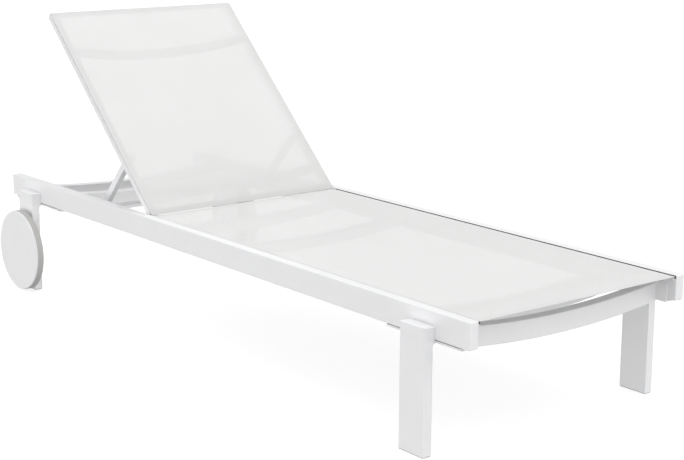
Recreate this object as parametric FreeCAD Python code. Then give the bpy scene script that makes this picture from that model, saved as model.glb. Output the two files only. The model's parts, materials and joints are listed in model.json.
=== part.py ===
import FreeCAD, Part
import math
import os

# Reclining sun lounger: sling on an aluminium frame, with a propped back and two wheels.
# Millimetres. +X points to the foot end, +Y to the sitter's left, Z up from the floor.
# Every piece is made on the left (+Y) side and mirrored where it comes in pairs.

V = FreeCAD.Vector

# ---- Driving dimensions ----
LENGTH = 2000.0              # over the end caps of the side rails
RAIL_TOP = 317.0
RAIL_HEIGHT = 60.0
RAIL_INNER = 304.5           # centre plane to the inner face of a rail
RAIL_WIDTH = 26.5
RAIL_WALL = 2.0
RAIL_CORNER = 1.5
CAP_THICKNESS = 4.0
CAP_CORNER = 3.0
CAP_PLUG = 15.0
CAP_PLUG_GAP = 0.3

SLING_THICKNESS = 1.0
SEAT_DROP = 1.4              # seat sling's top face below the rail's top
BACK_DROP = 0.2              # and the back sling's, with the back flat
TRACK_WIDTH = 6.5            # seat track, from a rail's inner face
TRACK_HEIGHT = 8.6
TRACK_LIP = 1.6              # lip that the seat sling bends over
TRACK_HEAD = -252.0          # end of the seat track beside the hinge
BORE_RADIUS = 2.4
BORE_DROP = 2.8              # bore's centre below the lip
SPLINE_RADIUS = 2.0
FIN_THICKNESS = 1.0          # spline's fin, against the rail
FIN_TOP = 316.2
SEAT_FOOT = 999.5            # foot edge of the seat sling
SEAT_HEAD = -256.0           # edge of the seat sling beside the hinge

CROSSBAR_DEPTH = 30.0        # along X
CROSSBAR_HEIGHT = {"outer": 46.0, "inner": 53.0}
CROSSBAR_TOP = 291.0         # at the ends
CROSSBAR_BOW = 19.5
MID_BAR_HEIGHT = 28.0
MID_BARS = {"front": 30.0, "rear": -247.0}     # centre X
TUBE_WALL = 2.0

LEG_WIDTH = 80.0             # along X
LEG_THICKNESS = 23.0
LEG_OUTER = 359.6            # centre plane to the outer face of a leg
LEG_TOP = 286.0
LEG_FILLET = 8.0
LEG_EDGE = 1.5
GLIDE_HEIGHT = 3.0
LEG_X = {"foot": 856.0, "head": -868.5}
LEG_WALL = 3.0
LEG_HEAD = 12.0              # solid upper end of a leg
SHOULDER_GAP = 0.4           # between a leg's shoulder and the rail
GLIDE_INSET = 1.0
GLIDE_PLUG_TOP = 15.0

BRACKET_X = {"foot": 856.0, "head": -856.0}
BRACKET_LENGTH = 240.0
SCREW_Y = 316.0              # centre plane to the bracket screws
SCREW_FROM_MIDDLE = 100.0
SCREW_RADIUS = 3.0
SCREW_THREAD = 9.0           # above the rail's underside
SCREW_HEAD_RADIUS = 5.5
SCREW_HEAD_HEIGHT = 3.2
SOCKET_RADIUS = 2.2
SOCKET_DEPTH = 1.8
PLATE_THICKNESS = 5.0
PLATE_CORNER = 3.0
PAD_THICKNESS = 2.0
PAD_INSET = 2.0
CHEEK_THICKNESS = 4.0
CHEEK_TOP = 294.5
CHEEK_CORNER = 9.0
BAR_FROM_BRACKET = 73.0      # crossbars stand this far either side of a bracket's middle

HINGE_X = -264.4
HINGE_Z = 306.0
BACK_ANGLE = 43.3            # above flat, as modelled
BACK_LENGTH = 716.0
BACK_OUTER = 303.8
BACK_WIDTH = 20.0
BACK_DEPTH = 20.0
HINGE_RADIUS = 9.0           # rounded lower end of the back
HINGE_SET = 2.0              # hinge fitting's outer face inside the back's
HINGE_NECK = 12.0            # hinge to the lower end of a back rail
HINGE_PLUG = 18.0
HINGE_THREAD_RADIUS = 3.0
HINGE_THREAD = 14.0
WASHER_RADIUS = 8.5
WASHER_GAP = 0.5
BACK_WALL = 2.0
BACK_CORNER = 0.8
BACK_PLUG_GAP = 0.2
BACK_CAP_THICKNESS = 3.0
BACK_CAP_CORNER = 1.2
BACK_CAP_PLUG = 12.0
CHANNEL_BLOCK = 6.0          # solid corner of a back rail around its channel
BACK_LIP = 1.0               # front wall of the channel in a back rail's outer face
BACK_MOUTH_WIDTH = 1.6
BACK_BORE_RADIUS = 1.7
BACK_BORE_DEPTH = 2.4        # bore's centre, in from the outer face
BACK_BORE_SINK = 0.4         # and below the middle of the mouth
BACK_SPLINE_RADIUS = 1.3
BACK_SLING_INSET = 0.3
BACK_BARS = {"upper": 577.0, "lower": 85.0}    # distance from the crease
BACK_BAR_HEIGHT = 25.0
BACK_BAR_DEPTH = 15.0
BACK_BAR_BOW = 36.0
BACK_BAR_SET = 3.0           # front face behind the front of the frame

STAY_FROM_HINGE = 205.85     # stay pivot, along the back from the hinge
STAY_BEHIND_HINGE = 3.0      # and below the hinge's line
STAY_LENGTH = 217.5
STAY_ANGLE = 47.4            # below level, towards the head
STAY_OUTER = 281.0
STAY_WIDTH = 16.0
STAY_DEPTH = 18.0
STAY_WALL = 2.0
STAY_END = 15.0              # solid ends of a strut
BAR_RADIUS = 6.0
SLEEVE_RADIUS = 8.0
SLEEVE_OVERHANG = 6.0        # beyond the rack
SLEEVE_END = 1.5             # closed end, and its gap to the rail
PIVOT_RADIUS = 4.0           # shank of the hinge and stay bolts
PIVOT_THREAD = 8.0
COLLAR_RADIUS = 6.5
BOLT_HEAD_RADIUS = 7.0
BOLT_HEAD_HEIGHT = 3.1
BOLT_HEAD_CORNER = 1.4
BOLT_GAP = 0.4               # between a moving part and its bolt's head or collar

RACK_TIP = 276.0             # top of the rack's teeth
RACK_SCREW_Z = 262.0
RACK_HEIGHT = 22.0
RACK_THICKNESS = 9.0
RACK_CORNER = 6.0
RACK_SCREW_INSET = 14.0
RACK_SCREW_RADIUS = 2.3
RACK_HEAD_RADIUS = 4.5
RACK_HEAD_HEIGHT = 2.2
RACK_HEAD_CORNER = 1.2
RACK_ENDS = (-704.0, -424.0)
NOTCH_PITCH = 40.0
NOTCH_COUNT = 6
NOTCH_RADIUS = 9.0
NOTCH_RISE = 3.5             # notch circle's centre above the teeth

WHEEL_X = -868.5
WHEEL_Z = 117.5
WHEEL_RADIUS = 115.5
WHEEL_OUTER = 388.7          # centre plane to the outer face of a wheel
WHEEL_INNER = 367.0
DISC_THICKNESS = 3.5
DISC_EDGE = 1.0
TYRE_DEPTH = 16.0            # tread to bead, radially
TYRE_CORNER = 1.5
RIM_THICKNESS = 6.0
WEB_THICKNESS = 4.0
HUB_RADIUS = 17.0
RIB_COUNT = 6
RIB_THICKNESS = 4.0
RIB_SET = 2.0                # ribs stop short of the wheel's inner face
AXLE_RADIUS = 5.0
AXLE_HEAD_RADIUS = 9.0
AXLE_HEAD_HEIGHT = 4.5
AXLE_HEAD_SET = 1.0          # behind the disc
AXLE_POCKET_RADIUS = 10.0
NUT_RADIUS = 9.2             # over the corners
NUT_HEIGHT = 7.0
AXLE_TAIL = 2.0              # axle beyond the nut
AXLE_SPACER_RADIUS = 11.0
AXLE_SPACER_GAP = 0.5

HOLE_GAP = 0.2               # clearance of a screw in its hole
PIVOT_GAP = 0.05             # radial running clearance of a pivot

# ---- Worked-out dimensions ----
RAIL_OUTER = RAIL_INNER + RAIL_WIDTH
RAIL_BOTTOM = RAIL_TOP - RAIL_HEIGHT
SEAT_TOP = RAIL_TOP - SEAT_DROP
LIP_TOP = SEAT_TOP - SLING_THICKNESS
BACK_FRONT = RAIL_TOP - BACK_DROP - SLING_THICKNESS      # front of the back's tubes, laid flat
BACK_BOTTOM = RAIL_TOP - BACK_DEPTH
PLATE_TOP = RAIL_BOTTOM - PAD_THICKNESS
PLATE_BOTTOM = PLATE_TOP - PLATE_THICKNESS
CHEEK_INNER = RAIL_INNER - CHEEK_THICKNESS
LEG_INNER = LEG_OUTER - LEG_THICKNESS
BACK_INNER = BACK_OUTER - BACK_WIDTH
TRACK_INNER = RAIL_INNER - TRACK_WIDTH
TRACK_MOUTH = TRACK_INNER + TRACK_LIP
CREASE_X = HINGE_X - (RAIL_TOP - HINGE_Z) * math.tan(math.radians(BACK_ANGLE / 2))
BACK_TOP_X = CREASE_X - BACK_LENGTH
STAY_INNER = STAY_OUTER - STAY_WIDTH


# ---- Small helpers ----
def block(x, y, z):
    """A box over three (low, high) pairs."""
    corner = V(min(x), min(y), min(z))
    return Part.makeBox(abs(x[1] - x[0]), abs(y[1] - y[0]), abs(z[1] - z[0]), corner)


def rod_y(x, z, radius, y):
    """A cylinder across the lounger over the pair y."""
    return Part.makeCylinder(radius, y[1] - y[0], V(x, y[0], z), V(0, 1, 0))


def rod_x(y, z, radius, x):
    """A cylinder along the lounger over the pair x."""
    low, high = min(x), max(x)
    return Part.makeCylinder(radius, high - low, V(low, y, z), V(1, 0, 0))


def rod_z(x, y, radius, z):
    """An upright cylinder over the pair z."""
    return Part.makeCylinder(radius, z[1] - z[0], V(x, y, z[0]), V(0, 0, 1))


def prism(points, direction):
    """A straight prism: a closed polygon pushed along a vector."""
    wire = Part.makePolygon(points + [points[0]])
    return Part.Face(wire).extrude(direction)


def round_edges(shape, radius, axis, keep=lambda centre: True):
    """Round the straight edges that run along an axis and whose centre passes the test."""
    chosen = []
    for edge in shape.Edges:
        if not isinstance(edge.Curve, Part.Line):
            continue
        direction = edge.Curve.Direction
        if abs(direction.dot(axis)) > 0.999 and keep(edge.CenterOfMass):
            chosen.append(edge)
    return shape.makeFillet(radius, chosen)


def mirrored(shape):
    return shape.mirror(V(0, 0, 0), V(0, 1, 0))


def raised(shape):
    """Turn a piece of the flat back up to its modelled angle."""
    copy = shape.copy()
    copy.rotate(V(HINGE_X, 0, HINGE_Z), V(0, 1, 0), BACK_ANGLE)
    return copy


def bowed_face(half, top, height, bow, wall=0.0):
    """An upright face across the lounger whose top and bottom are arcs that hang by bow."""
    top_end, bottom_end = top - wall, top - height + wall
    corners = [V(0, -half, top_end), V(0, half, top_end)]
    corners += [V(0, half, bottom_end), V(0, -half, bottom_end)]
    upper = Part.Arc(corners[0], V(0, 0, top_end - bow), corners[1]).toShape()
    right = Part.LineSegment(corners[1], corners[2]).toShape()
    lower = Part.Arc(corners[2], V(0, 0, bottom_end - bow), corners[3]).toShape()
    left = Part.LineSegment(corners[3], corners[0]).toShape()
    return Part.Face(Part.Wire([upper, right, lower, left]))


def bowed_tube(centre_x, depth, half, top, height, bow):
    """A rectangular tube across the lounger, bowed downwards, open at both ends."""
    outer = bowed_face(half, top, height, bow).extrude(V(depth, 0, 0))
    arcs = [edge for edge in outer.Edges if isinstance(edge.Curve, Part.Circle)]
    outer = outer.makeFillet(TUBE_WALL, arcs)
    inner = bowed_face(half, top, height, bow, TUBE_WALL)
    hollow = inner.extrude(V(depth - 2 * TUBE_WALL, 0, 0))
    hollow.translate(V(TUBE_WALL, 0, 0))
    tube = outer.cut(hollow)
    tube.translate(V(centre_x - depth / 2, 0, 0))
    return tube


# ---- Base frame ----
def side_rail():
    """Rectangular tube, drilled for the hinge and the bracket screws."""
    half = LENGTH / 2 - CAP_THICKNESS
    body = block((-half, half), (RAIL_INNER, RAIL_OUTER), (RAIL_BOTTOM, RAIL_TOP))
    body = round_edges(body, RAIL_CORNER, V(1, 0, 0))
    hollow = block((-half, half), (RAIL_INNER + RAIL_WALL, RAIL_OUTER - RAIL_WALL),
                   (RAIL_BOTTOM + RAIL_WALL, RAIL_TOP - RAIL_WALL))
    wall = (RAIL_INNER - 1, RAIL_INNER + RAIL_WALL + 1)
    cuts = [hollow, rod_y(HINGE_X, HINGE_Z, HINGE_THREAD_RADIUS + HOLE_GAP, wall)]
    for end in BRACKET_X:
        for x in screw_places(end):
            cuts.append(screw_hole(x, RAIL_BOTTOM, RAIL_BOTTOM + RAIL_WALL))
    return body.cut(cuts)


def seat_track():
    """J-shaped channel along the rail's inner top edge, which holds the seat's spline."""
    span = (TRACK_HEAD, LENGTH / 2 - CAP_THICKNESS)
    body = block(span, (TRACK_INNER, RAIL_INNER), (LIP_TOP - TRACK_HEIGHT, LIP_TOP))
    bore_y, bore_z = TRACK_MOUTH + BORE_RADIUS, LIP_TOP - BORE_DROP
    mouth = block(span, (TRACK_MOUTH, RAIL_INNER + 1), (bore_z, LIP_TOP + 1))
    return body.cut([mouth, rod_x(bore_y, bore_z, BORE_RADIUS, span)])


def rail_cap(end):
    """End cap: a rounded plate outside the rail and a plug inside it."""
    sign = 1 if end == "foot" else -1
    inner, outer = sign * (LENGTH / 2 - CAP_THICKNESS), sign * LENGTH / 2
    plate = block((inner, outer), (RAIL_INNER, RAIL_OUTER), (RAIL_BOTTOM, RAIL_TOP))
    rim = [edge for edge in plate.Edges if abs(edge.CenterOfMass.x - outer) < 0.01]
    plate = plate.makeFillet(CAP_CORNER, rim)
    inset = RAIL_WALL + CAP_PLUG_GAP
    plug = block((inner - sign * CAP_PLUG, inner), (RAIL_INNER + inset, RAIL_OUTER - inset),
                 (RAIL_BOTTOM + inset, RAIL_TOP - inset))
    return plate.fuse(plug)


def screw_places(end):
    return [BRACKET_X[end] - SCREW_FROM_MIDDLE, BRACKET_X[end] + SCREW_FROM_MIDDLE]


def screw_hole(x, bottom, top):
    """Clearance hole for a bracket screw, run past both faces."""
    return rod_z(x, SCREW_Y, SCREW_RADIUS + HOLE_GAP, (bottom - 1, top + 1))


def leg_bracket(end):
    """Cradle under a rail: a base plate and a cheek against the rail's inner face."""
    x = BRACKET_X[end]
    span = (x - BRACKET_LENGTH / 2, x + BRACKET_LENGTH / 2)
    plate_edge = LEG_INNER - LEG_FILLET
    plate = block(span, (CHEEK_INNER, plate_edge), (PLATE_BOTTOM, PLATE_TOP))
    plate = round_edges(plate, PLATE_CORNER, V(0, 1, 0), lambda c: c.z < PLATE_TOP - 1)
    cheek = block(span, (CHEEK_INNER, RAIL_INNER), (PLATE_TOP, CHEEK_TOP))
    cheek = round_edges(cheek, CHEEK_CORNER, V(0, 1, 0), lambda c: c.z > CHEEK_TOP - 1)
    bracket = plate.fuse(cheek).removeSplitter()
    for place in screw_places(end):
        bracket = bracket.cut(screw_hole(place, PLATE_BOTTOM, PLATE_TOP))
    return bracket


def bracket_pad(end):
    """Thin isolation strip between a bracket's base plate and the rail."""
    x = BRACKET_X[end]
    half = BRACKET_LENGTH / 2 - PAD_INSET
    side = (RAIL_INNER + PAD_INSET, RAIL_OUTER - PAD_INSET)
    pad = block((x - half, x + half), side, (PLATE_TOP, RAIL_BOTTOM))
    for place in screw_places(end):
        pad = pad.cut(screw_hole(place, PLATE_TOP, RAIL_BOTTOM))
    return pad


def bracket_screw(x):
    """Round-headed screw from below, through bracket and pad into the rail."""
    low = PLATE_BOTTOM - SCREW_HEAD_HEIGHT
    shank = rod_z(x, SCREW_Y, SCREW_RADIUS, (PLATE_BOTTOM, RAIL_BOTTOM + SCREW_THREAD))
    head = rod_z(x, SCREW_Y, SCREW_HEAD_RADIUS, (low, PLATE_BOTTOM))
    rim = [edge for edge in head.Edges if edge.CenterOfMass.z < low + 0.1]
    head = head.makeFillet(SCREW_HEAD_HEIGHT / 2, rim)
    socket = rod_z(x, SCREW_Y, SOCKET_RADIUS, (low - 0.1, low + SOCKET_DEPTH))
    return shank.fuse(head).cut(socket)


def leg(end):
    """Slab leg: its thick shoulder stands beside the rail and a fillet meets the base plate."""
    x = LEG_X[end]
    shoulder = RAIL_OUTER + SHOULDER_GAP
    root = LEG_INNER - LEG_FILLET
    sweep = math.sqrt(0.5) * LEG_FILLET
    centre_y, centre_z = root, PLATE_BOTTOM - LEG_FILLET
    start = x - LEG_WIDTH / 2
    corners = [(LEG_INNER, centre_z), (LEG_INNER, GLIDE_HEIGHT), (LEG_OUTER, GLIDE_HEIGHT),
               (LEG_OUTER, LEG_TOP), (shoulder, LEG_TOP), (shoulder, PLATE_TOP),
               (root, PLATE_TOP), (root, PLATE_BOTTOM)]
    points = [V(start, y, z) for y, z in corners]
    edges = [Part.LineSegment(a, b).toShape() for a, b in zip(points, points[1:])]
    middle = V(start, centre_y + sweep, centre_z + sweep)
    edges.append(Part.Arc(points[-1], middle, points[0]).toShape())
    slab = Part.Face(Part.Wire(edges)).extrude(V(LEG_WIDTH, 0, 0))
    slab = round_edges(slab, LEG_EDGE, V(0, 0, 1), lambda c: c.y > LEG_OUTER - 1)
    slab = slab.makeFillet(LEG_EDGE, [e for e in slab.Edges if on_leg_top(e)])
    half = LEG_WIDTH / 2 - LEG_WALL
    hollow = block((x - half, x + half), (LEG_INNER + LEG_WALL, LEG_OUTER - LEG_WALL),
                   (GLIDE_HEIGHT - 1, LEG_TOP - LEG_HEAD))
    cuts = [hollow]
    if end == "head":
        cuts.append(rod_y(WHEEL_X, WHEEL_Z, AXLE_RADIUS + HOLE_GAP, (LEG_INNER - 1, LEG_OUTER + 1)))
    return slab.cut(cuts)


def on_leg_top(edge):
    """The outer and end edges of a leg's top face, not the one beside the rail."""
    centre = edge.CenterOfMass
    return centre.z > LEG_TOP - 0.1 and centre.y > RAIL_OUTER + 2 and edge.Length > 0.5


def leg_glide(end):
    """Foot plate with a plug inside the leg's open lower end."""
    x = LEG_X[end]
    half = LEG_WIDTH / 2 - GLIDE_INSET
    plate = block((x - half, x + half), (LEG_INNER + GLIDE_INSET, LEG_OUTER - GLIDE_INSET), (0, GLIDE_HEIGHT))
    plate = plate.makeFillet(GLIDE_INSET, [e for e in plate.Edges if e.CenterOfMass.z < 0.1])
    inset = LEG_WALL + HOLE_GAP
    half = LEG_WIDTH / 2 - inset
    plug = block((x - half, x + half), (LEG_INNER + inset, LEG_OUTER - inset), (GLIDE_HEIGHT, GLIDE_PLUG_TOP))
    return plate.fuse(plug)


def seat_sling():
    """Flat panel between the mouths of the two seat tracks."""
    return block((SEAT_HEAD, SEAT_FOOT), (-TRACK_MOUTH, TRACK_MOUTH), (LIP_TOP, SEAT_TOP))


def seat_spline():
    """Rod on the floor of a seat track's bore, with a fin that covers the rail's side."""
    bore_z = LIP_TOP - BORE_DROP
    span = (TRACK_HEAD, SEAT_FOOT - 1)
    rod = rod_x(TRACK_MOUTH + BORE_RADIUS, bore_z - BORE_RADIUS + SPLINE_RADIUS, SPLINE_RADIUS, span)
    fin = block(span, (RAIL_INNER - FIN_THICKNESS, RAIL_INNER), (bore_z, FIN_TOP))
    return rod.fuse(fin).removeSplitter()


def rack():
    """Notched rail that the prop stay's bar drops into."""
    low, high = RACK_ENDS
    bar = block((low, high), (RAIL_INNER - RACK_THICKNESS, RAIL_INNER),
                (RACK_TIP - RACK_HEIGHT, RACK_TIP))
    bar = round_edges(bar, RACK_CORNER, V(0, 1, 0))
    through = (RAIL_INNER - RACK_THICKNESS - 1, RAIL_INNER + 1)
    rest_x = stay_foot().x
    cuts = []
    for number in range(NOTCH_COUNT):
        x = rest_x + (number - NOTCH_COUNT // 2) * NOTCH_PITCH
        cuts.append(rod_y(x, RACK_TIP + NOTCH_RISE, NOTCH_RADIUS, through))
    for x in rack_screw_places():
        cuts.append(rod_y(x, RACK_SCREW_Z, RACK_SCREW_RADIUS + HOLE_GAP, through))
    return bar.cut(cuts)


def rack_screw_places():
    low, high = RACK_ENDS
    return [low + RACK_SCREW_INSET, (low + high) / 2, high - RACK_SCREW_INSET]


def rack_screw(x):
    """Low round-headed screw that holds a rack to its rail."""
    face = RAIL_INNER - RACK_THICKNESS
    head = rod_y(x, RACK_SCREW_Z, RACK_HEAD_RADIUS, (face - RACK_HEAD_HEIGHT, face))
    head = head.makeFillet(RACK_HEAD_CORNER, [e for e in head.Edges if e.CenterOfMass.y < face - 1])
    return head.fuse(rod_y(x, RACK_SCREW_Z, RACK_SCREW_RADIUS, (face, RAIL_INNER)))


# ---- Back, made flat between the rails and then raised about its hinge ----
def back_rail():
    """Square tube with the spline channel in its outer face."""
    ends = (BACK_TOP_X + BACK_CAP_THICKNESS, HINGE_X - HINGE_NECK)
    tube = block(ends, (BACK_INNER, BACK_OUTER), (BACK_BOTTOM, BACK_FRONT))
    tube = round_edges(tube, BACK_CORNER, V(1, 0, 0))
    bottom, top, shelf = BACK_BOTTOM + BACK_WALL, BACK_FRONT - BACK_WALL, BACK_FRONT - CHANNEL_BLOCK
    inner, outer, inside = BACK_INNER + BACK_WALL, BACK_OUTER - BACK_WALL, BACK_OUTER - CHANNEL_BLOCK
    outline = [(inner, bottom), (outer, bottom), (outer, shelf),
               (inside, shelf), (inside, top), (inner, top)]
    hollow = prism([V(ends[0], y, z) for y, z in outline], V(ends[1] - ends[0], 0, 0))
    x, z = flat_stay_pivot()
    bolt_hole = rod_y(x, z, PIVOT_RADIUS + HOLE_GAP, (BACK_INNER - 1, BACK_INNER + BACK_WALL + 1))
    return raised(tube.cut([hollow, bolt_hole] + back_channel(ends)))


def back_channel(x):
    """Cuts of a back rail's channel: the mouth in the outer face and the bore behind it."""
    bore_y, bore_z = back_bore()
    mouth_top = BACK_FRONT - BACK_LIP
    mouth = block(x, (bore_y, BACK_OUTER + 1), (mouth_top - BACK_MOUTH_WIDTH, mouth_top))
    return [mouth, rod_x(bore_y, bore_z, BACK_BORE_RADIUS, x)]


def back_bore():
    """Y and Z of the bore's centre in the flat back."""
    return BACK_OUTER - BACK_BORE_DEPTH, BACK_FRONT - BACK_LIP - BACK_MOUTH_WIDTH / 2 - BACK_BORE_SINK


def flat_stay_pivot():
    return HINGE_X - STAY_FROM_HINGE, HINGE_Z - STAY_BEHIND_HINGE


def hinge_fitting():
    """Rounded lower end of a back rail, bored for the hinge bolt."""
    side = (BACK_INNER, BACK_OUTER - HINGE_SET)
    eye = rod_y(HINGE_X, HINGE_Z, HINGE_RADIUS, side)
    neck = block((HINGE_X - HINGE_NECK, HINGE_X), side, (HINGE_Z - HINGE_RADIUS, HINGE_Z + HINGE_RADIUS))
    plug = back_plug((HINGE_X - HINGE_NECK - HINGE_PLUG, HINGE_X - HINGE_NECK))
    bore = rod_y(HINGE_X, HINGE_Z, PIVOT_RADIUS + PIVOT_GAP, (BACK_INNER - 1, BACK_OUTER + 1))
    return raised(eye.fuse([neck, plug]).removeSplitter().cut(bore))


def back_plug(x):
    """Block that fits inside the end of a back rail."""
    inset = BACK_WALL + BACK_PLUG_GAP
    side = (BACK_INNER + inset, BACK_OUTER - CHANNEL_BLOCK - BACK_PLUG_GAP)
    return block(x, side, (BACK_BOTTOM + inset, BACK_FRONT - inset))


def back_cap():
    """Cap on the upper end of a back rail."""
    inner, outer = BACK_TOP_X + BACK_CAP_THICKNESS, BACK_TOP_X
    plate = block((outer, inner), (BACK_INNER, BACK_OUTER), (BACK_BOTTOM, BACK_FRONT))
    rim = [edge for edge in plate.Edges if abs(edge.CenterOfMass.x - outer) < 0.01]
    plate = plate.makeFillet(BACK_CAP_CORNER, rim).cut(back_channel((outer - 1, inner)))
    return raised(plate.fuse(back_plug((inner, inner + BACK_CAP_PLUG))))


def back_crossbar(place):
    """Tube between the back rails, bowed away from the sitter."""
    x = CREASE_X - BACK_BARS[place]
    top = RAIL_TOP - BACK_BAR_SET
    return raised(bowed_tube(x, BACK_BAR_HEIGHT, BACK_INNER, top, BACK_BAR_DEPTH, BACK_BAR_BOW))


def back_sling():
    """Flat panel over the fronts of the back rails."""
    half = BACK_OUTER - BACK_SLING_INSET
    span = (BACK_TOP_X, CREASE_X + SLING_THICKNESS)
    return raised(block(span, (-half, half), (BACK_FRONT, BACK_FRONT + SLING_THICKNESS)))


def back_spline():
    """Flexible rod in a back rail's channel."""
    y, z = back_bore()
    z -= BACK_BORE_RADIUS - BACK_SPLINE_RADIUS
    return raised(rod_x(y, z, BACK_SPLINE_RADIUS, (BACK_TOP_X + BACK_SLING_INSET, HINGE_X - HINGE_NECK)))


# ---- Prop stay ----
def stay_pivot():
    """Centre of the stay's upper pivot with the back raised."""
    x, z = flat_stay_pivot()
    angle = math.radians(BACK_ANGLE)
    along, up = x - HINGE_X, z - HINGE_Z
    return V(HINGE_X + along * math.cos(angle) + up * math.sin(angle), 0,
             HINGE_Z - along * math.sin(angle) + up * math.cos(angle))


def stay_foot():
    """Centre of the stay's bar with the back raised."""
    angle = math.radians(STAY_ANGLE)
    return stay_pivot() + V(-math.cos(angle), 0, -math.sin(angle)) * STAY_LENGTH


def stay_strut():
    """Flat-sided strut with rounded ends, made level and then swung down."""
    pivot = stay_pivot()
    radius = STAY_DEPTH / 2
    side = (STAY_INNER, STAY_OUTER)
    body = block((pivot.x - STAY_LENGTH, pivot.x), side, (pivot.z - radius, pivot.z + radius))
    ends = [rod_y(pivot.x, pivot.z, radius, side), rod_y(pivot.x - STAY_LENGTH, pivot.z, radius, side)]
    strut = body.fuse(ends).removeSplitter()
    bolt_hole = rod_y(pivot.x, pivot.z, PIVOT_RADIUS + PIVOT_GAP, (STAY_INNER - 1, STAY_OUTER + 1))
    bar_hole = rod_y(pivot.x - STAY_LENGTH, pivot.z, BAR_RADIUS, (STAY_INNER - 1, STAY_OUTER + 1))
    hollow = block((pivot.x - STAY_LENGTH + STAY_END, pivot.x - STAY_END),
                   (STAY_INNER + STAY_WALL, STAY_OUTER - STAY_WALL),
                   (pivot.z - radius + STAY_WALL, pivot.z + radius - STAY_WALL))
    strut = strut.cut([bolt_hole, bar_hole, hollow])
    strut.rotate(pivot, V(0, 1, 0), -STAY_ANGLE)
    return strut


def stay_bar():
    """Round bar across the lower ends of the struts."""
    foot = stay_foot()
    half = RAIL_INNER - 2 * SLEEVE_END
    return rod_y(foot.x, foot.z, BAR_RADIUS, (-half, half))


def stay_sleeve():
    """Sleeve on the end of the bar, which rides on the rack."""
    foot = stay_foot()
    span = (RAIL_INNER - RACK_THICKNESS - SLEEVE_OVERHANG, RAIL_INNER - SLEEVE_END)
    sleeve = rod_y(foot.x, foot.z, SLEEVE_RADIUS, span)
    return sleeve.cut(rod_y(foot.x, foot.z, BAR_RADIUS, (span[0] - 1, span[1] - SLEEVE_END)))


def bolt_head(x, z, face):
    """Round head whose flat side stands at Y = face, rounded on the side of the centre plane."""
    head = rod_y(x, z, BOLT_HEAD_RADIUS, (face - BOLT_HEAD_HEIGHT, face))
    return head.makeFillet(BOLT_HEAD_CORNER, [e for e in head.Edges if e.CenterOfMass.y < face - 1])


def stay_bolt():
    """Shoulder bolt through a strut into the back rail."""
    pivot = stay_pivot()
    start = STAY_INNER - BOLT_GAP
    shank = rod_y(pivot.x, pivot.z, PIVOT_RADIUS, (start, BACK_INNER + PIVOT_THREAD))
    collar = rod_y(pivot.x, pivot.z, COLLAR_RADIUS, (STAY_OUTER + BOLT_GAP, BACK_INNER))
    return bolt_head(pivot.x, pivot.z, start).fuse([shank, collar])


# ---- Hinge ----
def hinge_bolt():
    """Shoulder bolt through the back's fitting into the side rail."""
    start = BACK_INNER - BOLT_GAP
    shank = rod_y(HINGE_X, HINGE_Z, PIVOT_RADIUS, (start, RAIL_INNER))
    thread = rod_y(HINGE_X, HINGE_Z, HINGE_THREAD_RADIUS, (RAIL_INNER, RAIL_INNER + HINGE_THREAD))
    return bolt_head(HINGE_X, HINGE_Z, start).fuse([shank, thread])


def hinge_washer():
    """Spacer between the back's fitting and the side rail."""
    span = (BACK_OUTER - HINGE_SET + WASHER_GAP, RAIL_INNER)
    washer = rod_y(HINGE_X, HINGE_Z, WASHER_RADIUS, span)
    return washer.cut(rod_y(HINGE_X, HINGE_Z, PIVOT_RADIUS, (span[0] - 1, span[1] + 1)))


# ---- Wheels ----
def wheel_disc():
    """Plain cover that closes the wheel's outer side."""
    disc = rod_y(WHEEL_X, WHEEL_Z, WHEEL_RADIUS - DISC_EDGE, (WHEEL_OUTER - DISC_THICKNESS, WHEEL_OUTER))
    rim = [edge for edge in disc.Edges if edge.CenterOfMass.y > WHEEL_OUTER - 0.1]
    return disc.makeChamfer(DISC_EDGE, rim)


def wheel_tyre():
    """Solid ring with eased shoulders."""
    span = (WHEEL_INNER, WHEEL_OUTER - DISC_THICKNESS)
    ring = rod_y(WHEEL_X, WHEEL_Z, WHEEL_RADIUS, span)
    ring = ring.makeFillet(TYRE_CORNER, [e for e in ring.Edges if isinstance(e.Curve, Part.Circle)])
    return ring.cut(rod_y(WHEEL_X, WHEEL_Z, WHEEL_RADIUS - TYRE_DEPTH, (span[0] - 1, span[1] + 1)))


def wheel_core():
    """Hub, web, ribs and rim in one moulding, hollow towards the leg."""
    radius = WHEEL_RADIUS - TYRE_DEPTH
    low, high = WHEEL_INNER, WHEEL_OUTER - DISC_THICKNESS
    body = rod_y(WHEEL_X, WHEEL_Z, radius, (low, high))
    hollow = rod_y(WHEEL_X, WHEEL_Z, radius - RIM_THICKNESS, (low - 1, high - WEB_THICKNESS))
    hub = rod_y(WHEEL_X, WHEEL_Z, HUB_RADIUS, (low - 1, high))
    ribs = []
    for number in range(RIB_COUNT):
        rib = block((WHEEL_X, WHEEL_X + radius - RIM_THICKNESS / 2), (low + RIB_SET, high),
                    (WHEEL_Z - RIB_THICKNESS / 2, WHEEL_Z + RIB_THICKNESS / 2))
        rib.rotate(V(WHEEL_X, 0, WHEEL_Z), V(0, 1, 0), 360.0 / RIB_COUNT * number)
        ribs.append(rib)
    body = body.cut(hollow.cut(hub.fuse(ribs)))
    bore = rod_y(WHEEL_X, WHEEL_Z, AXLE_RADIUS + PIVOT_GAP, (low - 1, high + 1))
    pocket_depth = AXLE_HEAD_SET + AXLE_HEAD_HEIGHT + BOLT_GAP
    pocket = rod_y(WHEEL_X, WHEEL_Z, AXLE_POCKET_RADIUS, (high - pocket_depth, high + 1))
    return body.cut([bore, pocket])


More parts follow.
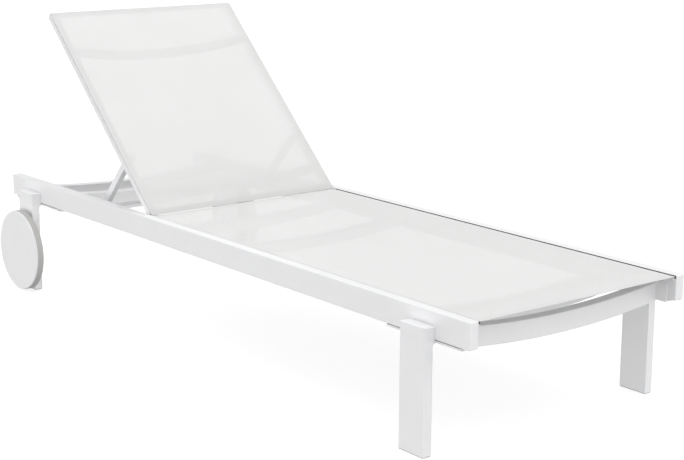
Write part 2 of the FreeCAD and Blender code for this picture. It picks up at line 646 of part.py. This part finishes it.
def axle_bolt():
    """Axle with a head inside the wheel and a nut on the leg's inner face."""
    head_outer = WHEEL_OUTER - DISC_THICKNESS - AXLE_HEAD_SET
    head_inner = head_outer - AXLE_HEAD_HEIGHT
    shank = rod_y(WHEEL_X, WHEEL_Z, AXLE_RADIUS, (LEG_INNER - NUT_HEIGHT - AXLE_TAIL, head_inner))
    head = rod_y(WHEEL_X, WHEEL_Z, AXLE_HEAD_RADIUS, (head_inner, head_outer))
    corners = []
    for number in range(6):
        angle = math.radians(60 * number)
        x, z = WHEEL_X + NUT_RADIUS * math.cos(angle), WHEEL_Z + NUT_RADIUS * math.sin(angle)
        corners.append(V(x, LEG_INNER - NUT_HEIGHT, z))
    nut = prism(corners, V(0, NUT_HEIGHT, 0))
    return shank.fuse([head, nut])


def axle_spacer():
    """Tube that keeps the wheel off the leg."""
    span = (LEG_OUTER, WHEEL_INNER - AXLE_SPACER_GAP)
    tube = rod_y(WHEEL_X, WHEEL_Z, AXLE_SPACER_RADIUS, span)
    return tube.cut(rod_y(WHEEL_X, WHEEL_Z, AXLE_RADIUS, (span[0] - 1, span[1] + 1)))


# ---- The assembly ----
def group(shapes):
    """Several separate solids of one kind in one node."""
    return Part.makeCompound(shapes)


def with_mirror(shapes):
    return group(shapes + [mirrored(shape) for shape in shapes])


def build():
    nodes = {}

    def pair(name, shape):
        nodes[name + "_left"] = shape
        nodes[name + "_right"] = mirrored(shape)

    pair("side_rail", side_rail())
    for end in ("foot", "head"):
        pair("rail_cap_" + end, rail_cap(end))
        pair("leg_bracket_" + end, leg_bracket(end))
        pair("leg_" + end, leg(end))
        pair("leg_glide_" + end, leg_glide(end))
        for place, offset in (("outer", 1), ("inner", -1)):
            sign = 1 if end == "foot" else -1
            x = BRACKET_X[end] + sign * offset * BAR_FROM_BRACKET
            nodes["crossbar_%s_%s" % (end, place)] = bowed_tube(
                x, CROSSBAR_DEPTH, CHEEK_INNER, CROSSBAR_TOP, CROSSBAR_HEIGHT[place], CROSSBAR_BOW)
    for place, x in MID_BARS.items():
        nodes["crossbar_mid_" + place] = bowed_tube(
            x, CROSSBAR_DEPTH, RAIL_INNER, CROSSBAR_TOP, MID_BAR_HEIGHT, CROSSBAR_BOW)
    nodes["bracket_pads"] = with_mirror([bracket_pad(end) for end in BRACKET_X])
    nodes["bracket_screws"] = with_mirror(
        [bracket_screw(x) for end in BRACKET_X for x in screw_places(end)])

    nodes["seat_sling"] = seat_sling()
    pair("seat_track", seat_track())
    pair("seat_spline", seat_spline())
    pair("rack", rack())
    nodes["rack_screws"] = with_mirror([rack_screw(x) for x in rack_screw_places()])
    nodes["hinge_bolts"] = with_mirror([hinge_bolt()])
    nodes["hinge_washers"] = with_mirror([hinge_washer()])

    pair("back_rail", back_rail())
    pair("hinge_fitting", hinge_fitting())
    pair("back_cap", back_cap())
    for place in BACK_BARS:
        nodes["back_crossbar_" + place] = back_crossbar(place)
    nodes["back_sling"] = back_sling()
    pair("back_spline", back_spline())
    nodes["stay_bolts"] = with_mirror([stay_bolt()])

    pair("stay_strut", stay_strut())
    nodes["stay_bar"] = stay_bar()
    nodes["stay_sleeves"] = with_mirror([stay_sleeve()])

    pair("wheel_disc", wheel_disc())
    pair("wheel_tyre", wheel_tyre())
    pair("wheel_core", wheel_core())
    nodes["axle_bolts"] = with_mirror([axle_bolt()])
    nodes["axle_spacers"] = with_mirror([axle_spacer()])
    return nodes


def main():
    os.makedirs("parts", exist_ok=True)
    nodes = build()
    for name, shape in nodes.items():
        if not shape.isValid():
            raise ValueError(name + " is not a valid shape")
        shape.exportStep("parts/" + name + ".step")
    whole = Part.makeCompound(list(nodes.values())).optimalBoundingBox()
    print(len(nodes), "nodes;", "size %.1f x %.1f x %.1f mm" % (whole.XLength, whole.YLength, whole.ZLength))
    print("low corner", [round(v, 1) for v in (whole.XMin, whole.YMin, whole.ZMin)])
    print("stay bar at", [round(v, 1) for v in stay_foot()])


main()
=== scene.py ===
import json
import math

import bmesh
import bpy
from mathutils import Matrix, Vector

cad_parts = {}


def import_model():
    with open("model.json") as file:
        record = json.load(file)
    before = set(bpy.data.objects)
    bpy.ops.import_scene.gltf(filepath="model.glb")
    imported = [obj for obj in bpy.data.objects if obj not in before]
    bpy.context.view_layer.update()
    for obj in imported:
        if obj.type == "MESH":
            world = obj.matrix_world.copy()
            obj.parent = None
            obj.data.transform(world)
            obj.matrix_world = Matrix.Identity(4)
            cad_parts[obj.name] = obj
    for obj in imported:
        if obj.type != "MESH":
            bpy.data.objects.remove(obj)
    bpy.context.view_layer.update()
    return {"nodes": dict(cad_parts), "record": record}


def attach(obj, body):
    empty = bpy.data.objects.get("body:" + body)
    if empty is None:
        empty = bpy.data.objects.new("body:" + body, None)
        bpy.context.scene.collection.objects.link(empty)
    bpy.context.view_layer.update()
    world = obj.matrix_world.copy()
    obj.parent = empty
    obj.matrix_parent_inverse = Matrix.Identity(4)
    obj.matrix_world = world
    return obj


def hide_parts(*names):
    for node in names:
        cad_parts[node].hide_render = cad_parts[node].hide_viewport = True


# A white sling sun lounger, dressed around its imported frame. Metres; +X foot, +Y left, +Z up.

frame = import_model()
nodes = frame["nodes"]

# ---- Camera ----
AZIMUTH, ELEVATION, ROLL = 51.690, 12.877, 0.281      # degrees
CAMERA_PLACE = (3.2938, -2.4735, 1.2244)
SENSOR = 36.0
LENS = 84.58

# ---- Slings, as in the CAD ----
HINGE = Vector((-0.2644, 0.0, 0.306))
BACK_ANGLE = math.radians(43.3)
FOLD = 0.00035               # radius of a hem's fold
HEM = 0.018
TURN_STEPS = 6               # chords in a quarter turn, or in a hem's fold
FLAT_SHARES = (0.0, 0.2, 0.4, 0.6, 0.8, 0.95, 1.0)    # rows across the flat part, as shares of its half
SEAT_LEVEL = 0.31545
SEAT_ENDS = (-0.256, 0.9995)
SEAT_ROWS = 24
SEAT_REACH = 0.29945         # half width of the flat part, up to the track's lip
SEAT_TURNS = ((0.0009, 0.0016),)                      # down into the track
BACK_LEVEL = 0.3166
BACK_ENDS = (-0.98472, -0.26773)
BACK_ROWS = 16
BACK_REACH = 0.30308
BACK_TURNS = ((0.0009, 0.0008), (0.0004, 0.0009))     # down the rail's side, into its channel


# ---- Node helpers ----
class Nodes:
    """Short way to build a material's node tree."""

    def __init__(self, name):
        self.material = bpy.data.materials.new(name)
        self.material.use_nodes = True
        self.tree = self.material.node_tree
        self.tree.nodes.clear()
        self.out = self.add("ShaderNodeOutputMaterial")

    def add(self, kind, **settings):
        node = self.tree.nodes.new(kind)
        for key, value in settings.items():
            setattr(node, key, value)
        return node

    def link(self, source, target):
        self.tree.links.new(source, target)

    def math(self, operation, first, second=None):
        node = self.add("ShaderNodeMath", operation=operation)
        for socket, value in zip(node.inputs, (first, second)):
            if value is None:
                continue
            if isinstance(value, (int, float)):
                socket.default_value = value
            else:
                self.link(value, socket)
        return node.outputs[0]

    def place(self):
        return self.add("ShaderNodeTexCoord").outputs["Object"]

    def noise(self, scale, detail=2.0, rough=0.5, place=None):
        node = self.add("ShaderNodeTexNoise")
        node.inputs["Scale"].default_value = scale
        node.inputs["Detail"].default_value = detail
        node.inputs["Roughness"].default_value = rough
        self.link(place or self.place(), node.inputs["Vector"])
        return node.outputs["Fac"]

    def span(self, value, low, high):
        """Map 0..1 onto low..high."""
        node = self.add("ShaderNodeMapRange")
        node.inputs["To Min"].default_value = low
        node.inputs["To Max"].default_value = high
        self.link(value, node.inputs["Value"])
        return node.outputs["Result"]

    def tint(self, value, low, high):
        """A colour between two, by a 0..1 value."""
        node = self.add("ShaderNodeValToRGB")
        ends = node.color_ramp.elements
        ends[0].color, ends[1].color = (*low, 1.0), (*high, 1.0)
        ends[0].position, ends[1].position = 0.3, 0.7
        self.link(value, node.inputs["Fac"])
        return node.outputs["Color"]

    def bump(self, height, strength, distance):
        node = self.add("ShaderNodeBump")
        node.inputs["Strength"].default_value = strength
        node.inputs["Distance"].default_value = distance
        self.link(height, node.inputs["Height"])
        return node.outputs["Normal"]

    def principled(self, **values):
        node = self.add("ShaderNodeBsdfPrincipled")
        for key, value in values.items():
            node.inputs[key.replace("_", " ")].default_value = value
        return node

    def finish(self, shader):
        self.link(shader, self.out.inputs["Surface"])
        return self.material


def coated(name, low, high, rough, peel=1600.0, peel_height=0.00003, coat=0.0, specular=0.5):
    """Powder coat or moulded plastic: faint tone drift, fine grain, uneven gloss."""
    n = Nodes(name)
    shader = n.principled(Coat_Weight=coat, Coat_Roughness=0.25, Specular_IOR_Level=specular)
    place = n.place()
    drift = n.noise(9.0, 3.0, 0.55, place)
    n.link(n.tint(drift, low, high), shader.inputs["Base Color"])
    fleck = n.noise(peel * 0.35, 2.0, 0.5, place)
    n.link(n.span(fleck, rough - 0.06, rough + 0.06), shader.inputs["Roughness"])
    grain = n.noise(peel, 1.5, 0.5, place)
    n.link(n.bump(grain, 0.5, peel_height), shader.inputs["Normal"])
    return n.finish(shader.outputs[0])


def brushed(name, low, high):
    """Stainless hardware with fine turned marks."""
    n = Nodes(name)
    shader = n.principled(Metallic=1.0)
    place = n.place()
    n.link(n.tint(n.noise(60.0, 3.0, 0.6, place), low, high), shader.inputs["Base Color"])
    n.link(n.span(n.noise(900.0, 3.0, 0.6, place), 0.22, 0.42), shader.inputs["Roughness"])
    n.link(n.bump(n.noise(2500.0, 1.0, 0.5, place), 0.4, 0.00002), shader.inputs["Normal"])
    return n.finish(shader.outputs[0])


def woven(name, pitch=0.0011, open_share=0.065):
    """Coated mesh cloth: a plain weave of round yarns with small square holes."""
    n = Nodes(name)
    place = n.add("ShaderNodeSeparateXYZ")
    n.link(n.place(), place.inputs[0])
    waves, across = {}, {}
    for axis in "XY":
        waves[axis] = n.math("SINE", n.math("MULTIPLY", place.outputs[axis], math.pi / pitch))
        across[axis] = n.math("ABSOLUTE", waves[axis])
    # The sign of the two waves says which yarn is on top
    over = n.math("GREATER_THAN", n.math("MULTIPLY", waves["X"], waves["Y"]), 0.0)
    under = n.math("SUBTRACT", 1.0, over)
    height = n.math("ADD", n.math("MULTIPLY", across["X"], over), n.math("MULTIPLY", across["Y"], under))
    crown = n.math("POWER", height, 0.6)
    # Holes where both yarns fall away
    edge = math.sin(math.pi / 2 * math.sqrt(open_share))
    hole = n.math("LESS_THAN", n.math("MAXIMUM", across["X"], across["Y"]), edge)

    shader = n.principled(Specular_IOR_Level=0.35, Sheen_Weight=0.05)
    drift = n.noise(5.0, 3.0, 0.6)
    n.link(n.tint(drift, (0.755, 0.755, 0.75), (0.78, 0.78, 0.775)), shader.inputs["Base Color"])
    n.link(n.span(n.noise(700.0), 0.45, 0.62), shader.inputs["Roughness"])
    n.link(n.bump(crown, 0.5, 0.0002), shader.inputs["Normal"])
    glow = n.add("ShaderNodeBsdfTranslucent")
    glow.inputs["Color"].default_value = (0.77, 0.77, 0.76, 1.0)
    cloth = n.add("ShaderNodeMixShader")
    cloth.inputs["Fac"].default_value = 0.12
    n.link(shader.outputs[0], cloth.inputs[1])
    n.link(glow.outputs[0], cloth.inputs[2])
    clear = n.add("ShaderNodeBsdfTransparent")
    mesh = n.add("ShaderNodeMixShader")
    n.link(hole, mesh.inputs["Fac"])
    n.link(cloth.outputs[0], mesh.inputs[1])
    n.link(clear.outputs[0], mesh.inputs[2])
    return n.finish(mesh.outputs[0])


WHITE = coated("white_frame", (0.80, 0.80, 0.81), (0.82, 0.82, 0.83), 0.42, coat=0.08)
FINISH = {
    "white_frame": WHITE,
    "wheel_white": coated("wheel_white", (0.79, 0.79, 0.80), (0.81, 0.81, 0.82), 0.40, coat=0.08),
    "cap_plastic": coated("cap_plastic", (0.80, 0.80, 0.81), (0.82, 0.82, 0.83), 0.50, peel=2400.0),
    "glide_plastic": coated("glide_plastic", (0.50, 0.50, 0.50), (0.55, 0.55, 0.55), 0.55, peel=2400.0),
    "rack_nylon": coated("rack_nylon", (0.70, 0.70, 0.70), (0.74, 0.74, 0.74), 0.50, peel=2400.0),
    "bush_nylon": coated("bush_nylon", (0.42, 0.42, 0.42), (0.48, 0.48, 0.48), 0.50, peel=2400.0),
    "core_plastic": coated("core_plastic", (0.46, 0.46, 0.455), (0.50, 0.50, 0.495), 0.55, peel=2400.0),
    "tyre_grey": coated("tyre_grey", (0.46, 0.455, 0.445), (0.50, 0.495, 0.485), 0.70, peel=1200.0,
                        peel_height=0.00006, specular=0.35),
    # Partly real, partly painted shade: a rubber isolation pad under the rail, coloured dark grey to
    # stand in for the shadow gap between rail and bracket
    "pad_rubber": coated("pad_rubber", (0.16, 0.16, 0.16), (0.20, 0.20, 0.20), 0.75, peel=1200.0),
    # Partly real, partly painted shade: a rubber keder in the channel, made near black to stand in for
    # the shadow inside the track's slot
    "spline_cord": coated("spline_cord", (0.012, 0.012, 0.012), (0.02, 0.02, 0.02), 0.65, peel=1200.0),
    "steel": brushed("steel", (0.55, 0.55, 0.56), (0.66, 0.66, 0.67)),
    "sling_mesh": woven("sling_mesh"),
}

slots = {part["node"]: part["material_slot"] for part in frame["record"]["subparts"]}
for name, obj in nodes.items():
    obj.data.materials.clear()
    obj.data.materials.append(FINISH[slots[name]])


# ---- Slings ----
def cross_section(reach, level, turns):
    """The cloth across the lounger, edge to edge, as (y, z), and the indices of its flat part.

    Past the flat part each (radius, run) is a quarter turn and a straight run."""
    half = [(reach * share, level) for share in FLAT_SHARES]
    flat = len(half)
    heading = 0.0
    step = math.radians(90.0 / TURN_STEPS)
    for radius, run in turns:
        for _ in range(TURN_STEPS):
            heading -= step / 2
            half.append(ahead_of(half[-1], heading, 2 * radius * math.sin(step / 2)))
            heading -= step / 2
        half.append(ahead_of(half[-1], heading, run))
    line = [(-y, z) for y, z in reversed(half[1:])] + half
    return line, range(len(half) - flat, len(half) + flat - 1)


def ahead_of(place, heading, distance):
    return place[0] + distance * math.cos(heading), place[1] + distance * math.sin(heading)


def lengthwise(ends, rows):
    """The cloth along the lounger with both hems turned under, as (x, drop, whether it is full width)."""
    low, high = min(ends), max(ends)
    turned = []
    for step in range(1, TURN_STEPS + 1):
        angle = math.radians(180.0 * step / TURN_STEPS)
        turned.append((FOLD * math.sin(angle), FOLD - FOLD * math.cos(angle), False))
    turned += [(-HEM / 2, 2 * FOLD, False), (-HEM, 2 * FOLD, False)]
    path = [(low + FOLD - x, drop, full) for x, drop, full in reversed(turned)]
    for row in range(rows + 1):
        path.append((low + FOLD + (high - low - 2 * FOLD) * row / rows, 0.0, True))
    return path + [(high - FOLD + x, drop, full) for x, drop, full in turned]


def path_length(points):
    return sum(math.dist(a, b) for a, b in zip(points, points[1:]))


def sling(name, node, ends, section, rows):
    """One cloth panel: long edges bent into the channels, short edges hemmed."""
    line, flat = cross_section(*section)
    along = lengthwise(ends, rows)
    mesh = bmesh.new()
    grid = [[mesh.verts.new((x, y, z - drop)) if full or i in flat else None
             for i, (y, z) in enumerate(line)] for x, drop, full in along]
    for first, second in zip(grid, grid[1:]):
        for i in range(len(line) - 1):
            corners = (first[i], second[i], second[i + 1], first[i + 1])
            if all(corners):
                mesh.faces.new(corners)
    data = bpy.data.meshes.new(name)
    mesh.to_mesh(data)
    mesh.free()
    data.shade_smooth()
    obj = bpy.data.objects.new(name, data)
    bpy.context.scene.collection.objects.link(obj)
    data.materials.append(FINISH["sling_mesh"])
    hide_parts(node)
    return obj, (path_length(line), path_length([(x, drop) for x, drop, _ in along]))


def raise_back(obj):
    """Turn a flat back piece up to the back's modelled angle."""
    turn = Matrix.Rotation(BACK_ANGLE, 4, "Y")
    obj.matrix_world = Matrix.Translation(HINGE) @ turn @ Matrix.Translation(-HINGE)


seat_section = (SEAT_REACH, SEAT_LEVEL, SEAT_TURNS)
seat, seat_size = sling("seat_cloth", "seat_sling", SEAT_ENDS, seat_section, SEAT_ROWS)
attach(seat, "base")
back_section = (BACK_REACH, BACK_LEVEL, BACK_TURNS)
back, back_size = sling("back_cloth", "back_sling", BACK_ENDS, back_section, BACK_ROWS)
raise_back(back)
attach(back, "backrest")


# ---- Floor ----
FLOOR_HALF = 60.0
FLOOR_TONE = (0.3, 0.3, 0.3, 1.0)
FLOOR_GLOW = 0.8             # keeps the floor nearly white under a faint shadow


def floor():
    mesh = bmesh.new()
    bmesh.ops.create_grid(mesh, x_segments=1, y_segments=1, size=FLOOR_HALF)
    data = bpy.data.meshes.new("floor")
    mesh.to_mesh(data)
    mesh.free()
    obj = bpy.data.objects.new("floor", data)
    bpy.context.scene.collection.objects.link(obj)
    n = Nodes("floor")
    shader = n.principled(Base_Color=FLOOR_TONE, Roughness=0.9, Specular_IOR_Level=0.0,
                          Emission_Color=(1.0, 1.0, 1.0, 1.0), Emission_Strength=FLOOR_GLOW)
    data.materials.append(n.finish(shader.outputs[0]))
    obj.visible_diffuse = False


floor()

# ---- Light ----
NADIR, GROUND, HORIZON, SKY = 0.14, 2.72, 0.05, 1.655         # from straight below to overhead
WORLD_STEPS = (               # sine of the height, half width of the blend, change of strength
    (-0.35, 0.08, GROUND - NADIR),
    (0.0, 0.04, HORIZON - GROUND),
    (0.3, 0.1, SKY - HORIZON),
)
LIGHTS = {                    # direction it comes from, spread in degrees, strength
    "foot": ((1.0, -0.1, 0.12), 30.0, 0.19),
}


def world():
    """Brightness by height: dim straight below, bright low ground, dark horizon, even sky."""
    sky = bpy.data.worlds.new("studio")
    bpy.context.scene.world = sky
    sky.use_nodes = True
    tree = sky.node_tree
    tree.nodes.clear()
    place = tree.nodes.new("ShaderNodeTexCoord")
    split = tree.nodes.new("ShaderNodeSeparateXYZ")
    background = tree.nodes.new("ShaderNodeBackground")
    out = tree.nodes.new("ShaderNodeOutputWorld")
    tree.links.new(place.outputs["Generated"], split.inputs[0])
    total = None
    for height, blend, change in WORLD_STEPS:
        ramp = tree.nodes.new("ShaderNodeMapRange")
        ramp.inputs["From Min"].default_value = height - blend
        ramp.inputs["From Max"].default_value = height + blend
        ramp.inputs["To Max"].default_value = change
        tree.links.new(split.outputs["Z"], ramp.inputs["Value"])
        plus = tree.nodes.new("ShaderNodeMath")
        tree.links.new(ramp.outputs["Result"], plus.inputs[0])
        if total is None:
            plus.inputs[1].default_value = NADIR
        else:
            tree.links.new(total, plus.inputs[1])
        total = plus.outputs[0]
    tree.links.new(total, background.inputs["Strength"])
    tree.links.new(background.outputs[0], out.inputs["Surface"])


def lamps():
    for name, (source, spread, strength) in LIGHTS.items():
        lamp = bpy.data.lights.new(name, "SUN")
        lamp.angle = math.radians(spread)
        lamp.energy = strength
        obj = bpy.data.objects.new(name, lamp)
        obj.rotation_mode = "QUATERNION"
        obj.rotation_quaternion = Vector(source).to_track_quat("Z", "Y")
        bpy.context.scene.collection.objects.link(obj)


world()
lamps()


# ---- Camera ----
def camera():
    azimuth, elevation, roll = (math.radians(a) for a in (AZIMUTH, ELEVATION, ROLL))
    ahead = Vector((-math.sin(azimuth) * math.cos(elevation), math.cos(azimuth) * math.cos(elevation),
                    -math.sin(elevation)))
    right = ahead.cross(Vector((0, 0, 1))).normalized()
    up = right.cross(ahead)
    turned_right = right * math.cos(roll) + up * math.sin(roll)
    turned_up = up * math.cos(roll) - right * math.sin(roll)
    data = bpy.data.cameras.new("camera")
    data.lens = LENS
    data.sensor_width = SENSOR
    obj = bpy.data.objects.new("camera", data)
    turn = Matrix((turned_right, turned_up, -ahead)).transposed().to_4x4()
    obj.matrix_world = Matrix.Translation(CAMERA_PLACE) @ turn
    bpy.context.scene.collection.objects.link(obj)
    bpy.context.scene.camera = obj


camera()
bpy.context.scene.view_settings.view_transform = "Standard"
